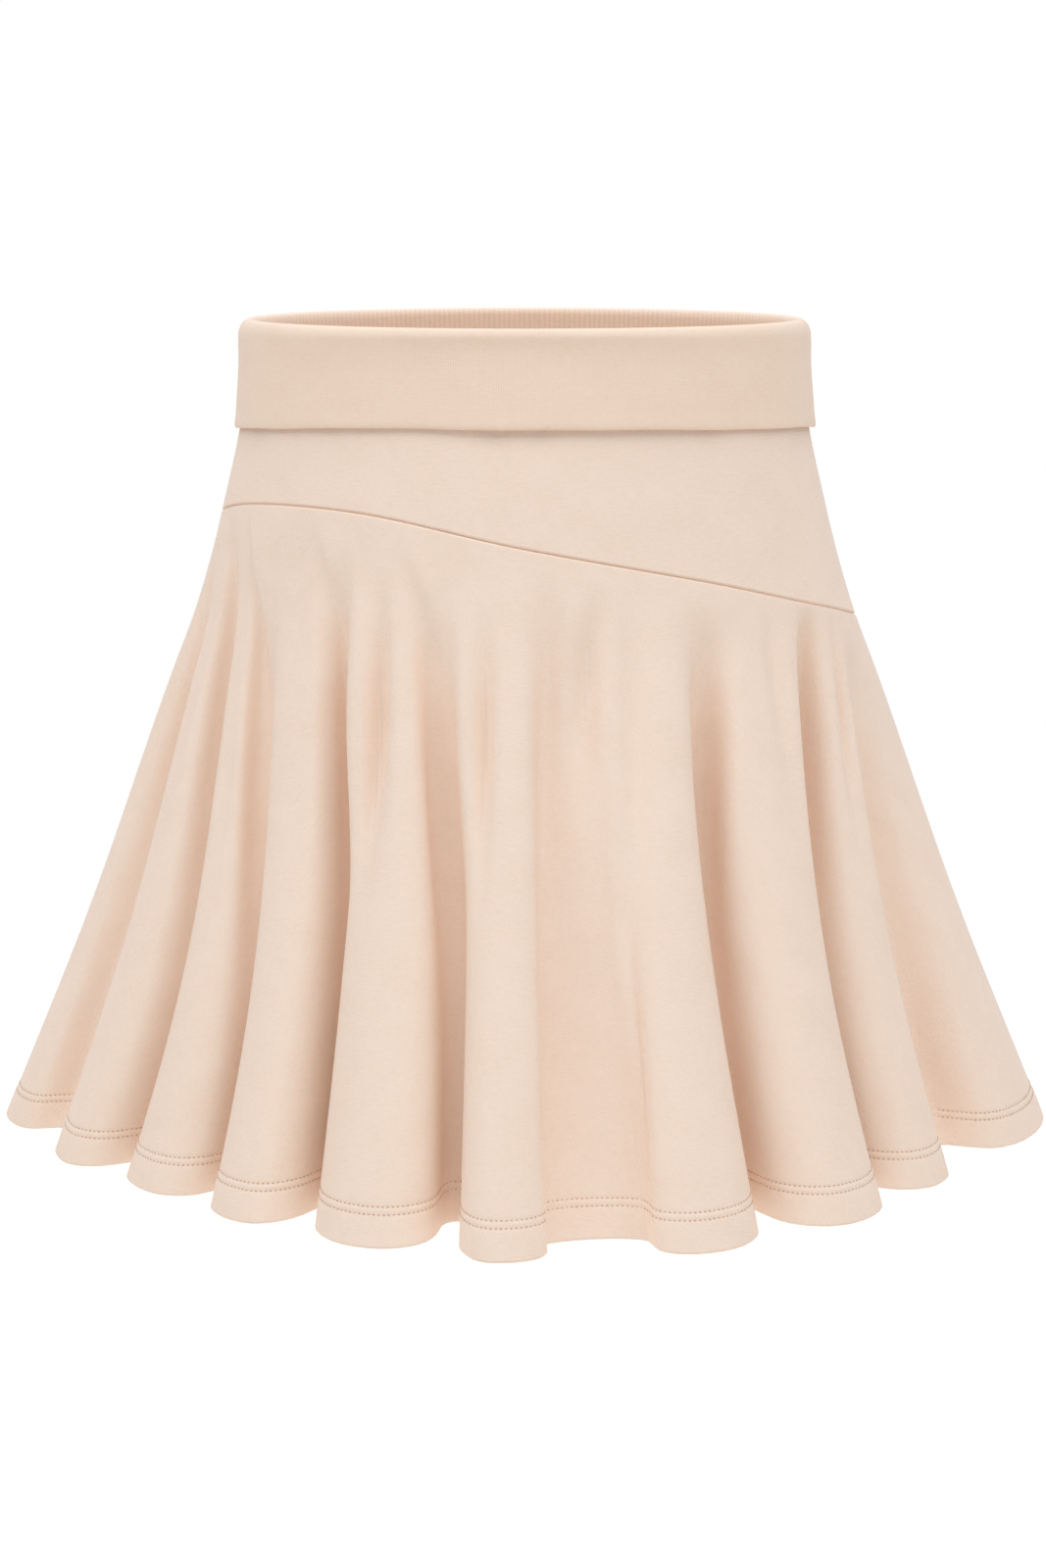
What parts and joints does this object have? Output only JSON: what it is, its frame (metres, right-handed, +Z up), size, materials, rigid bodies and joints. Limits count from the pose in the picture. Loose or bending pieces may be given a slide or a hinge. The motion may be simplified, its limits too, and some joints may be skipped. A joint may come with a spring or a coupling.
{
  "type": "mini skirt",
  "caption": "Hollow flared jersey mini skirt in its worn form: foldover waistband, hip yoke with a slanting seam, and hanging folds above a turned-up hem.",
  "frame": {"origin": "middle of the waist, halfway down the inside of the waistband, where the wearer's waist carries the skirt", "axes": "+X to the right in the front view (the wearer's left), +Y to the back, +Z up"},
  "size_m": [0.508, 0.414, 0.3858],
  "materials": {
    "jersey": "matte brushed cotton jersey, pale peach",
    "band_jersey": "matte double cotton jersey, pale peach, fine ribs inside"
  },
  "bodies": {
    "root": {"waistband_front": "band_jersey", "waistband_back": "band_jersey", "yoke_front": "jersey", "yoke_back": "jersey", "flare_front": "jersey", "flare_back": "jersey"}
  },
  "joints": []
}
